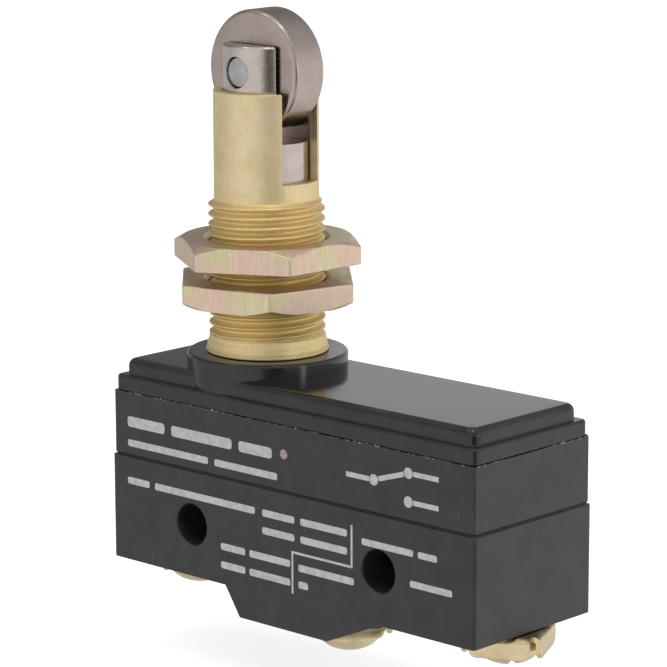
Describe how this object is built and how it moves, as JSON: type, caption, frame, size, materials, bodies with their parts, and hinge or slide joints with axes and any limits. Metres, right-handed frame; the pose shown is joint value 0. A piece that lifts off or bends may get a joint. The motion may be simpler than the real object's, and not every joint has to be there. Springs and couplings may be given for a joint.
{
  "type": "limit switch",
  "caption": "Panel-mount snap-action limit switch: moulded case with screw terminals, threaded slotted bushing, panel nuts and a sprung roller plunger.",
  "frame": {"origin": "on the case's rear side face, midway between the two side mounting holes", "axes": "+X along the case towards the normally closed terminal, +Y out of the rear side face, +Z along the plunger towards the roller"},
  "size_m": [0.0519, 0.0196, 0.0636],
  "materials": {
    "case_phenolic": "satin black moulding, fine grain",
    "cover_phenolic": "glossy black moulding",
    "insulator": "brown phenolic",
    "bushing_brass": "satin turned brass",
    "nut_zinc": "yellow-passivated zinc on steel",
    "plunger_nickel": "satin nickel plate",
    "roller_nickel": "brushed nickel plate",
    "pin_steel": "satin steel",
    "spring_steel": "drawn spring wire",
    "terminal_brass": "stamped brass",
    "blade_copper": "beryllium copper strip",
    "contact_silver": "silver alloy",
    "screw_brass": "bright pale brass"
  },
  "bodies": {
    "root": {"case": "case_phenolic", "cover": "cover_phenolic", "button_guide": "insulator", "bushing": "bushing_brass", "com_terminal": "terminal_brass", "no_terminal": "terminal_brass", "nc_terminal": "terminal_brass", "blade_anchor": "terminal_brass", "anchor_rivet": "pin_steel", "no_contact": "contact_silver", "nc_contact": "contact_silver"},
    "plunger": {"plunger": "plunger_nickel", "roller_pin": "pin_steel", "retaining_ring": "spring_steel", "return_spring": "spring_steel", "overtravel_spring": "spring_steel"},
    "roller": {"roller": "roller_nickel"},
    "button": {"inner_button": "insulator", "push_pin": "pin_steel"},
    "blade": {"snap_blade": "blade_copper", "moving_contact": "contact_silver"},
    "lower_nut": {"lower_nut": "nut_zinc"},
    "upper_nut": {"upper_nut": "nut_zinc"},
    "screw_com": {"terminal_screw_com": "screw_brass", "terminal_washer_com": "screw_brass"},
    "screw_no": {"terminal_screw_no": "screw_brass", "terminal_washer_no": "screw_brass"},
    "screw_nc": {"terminal_screw_nc": "screw_brass", "terminal_washer_nc": "screw_brass"}
  },
  "joints": [
    {"name": "plunger_slide", "type": "slide", "parent": "root", "child": "plunger", "axis": [0, 0, -1], "range_m": [0, 0.0048], "stiffness_N_per_m": 300, "springref_m": -0.006, "deforming": ["return_spring", "overtravel_spring"]},
    {"name": "roller_spin", "type": "hinge", "parent": "plunger", "child": "roller", "pos_m": [-0.01025, -0.0087, 0.0455], "axis": [0, 1, 0], "continuous": true},
    {"name": "button_slide", "type": "slide", "parent": "root", "child": "button", "axis": [0, 0, -1], "range_m": [0, 0.00044]},
    {"name": "blade_snap", "type": "hinge", "parent": "root", "child": "blade", "pos_m": [-0.0147, -0.0087, 0.00743], "axis": [0, 1, 0], "range_deg": [0, 0.9]},
    {"name": "lower_nut_travel", "type": "slide", "parent": "root", "child": "lower_nut", "axis": [0, 0, 1], "range_m": [-0.0032, 0.0007]},
    {"name": "upper_nut_travel", "type": "slide", "parent": "root", "child": "upper_nut", "axis": [0, 0, 1], "range_m": [-0.0007, 0.004]},
    {"name": "screw_com_travel", "type": "slide", "parent": "root", "child": "screw_com", "axis": [0, 0, -1], "range_m": [0, 0.0025]},
    {"name": "screw_no_travel", "type": "slide", "parent": "root", "child": "screw_no", "axis": [0, 0, -1], "range_m": [0, 0.0025]},
    {"name": "screw_nc_travel", "type": "slide", "parent": "root", "child": "screw_nc", "axis": [0, 0, -1], "range_m": [0, 0.0025]}
  ],
  "couplings": [
    {"joint": "button_slide", "follows": "plunger_slide", "ratio": 0.09},
    {"joint": "blade_snap", "follows": "plunger_slide", "rad_per_m": 3.2}
  ]
}
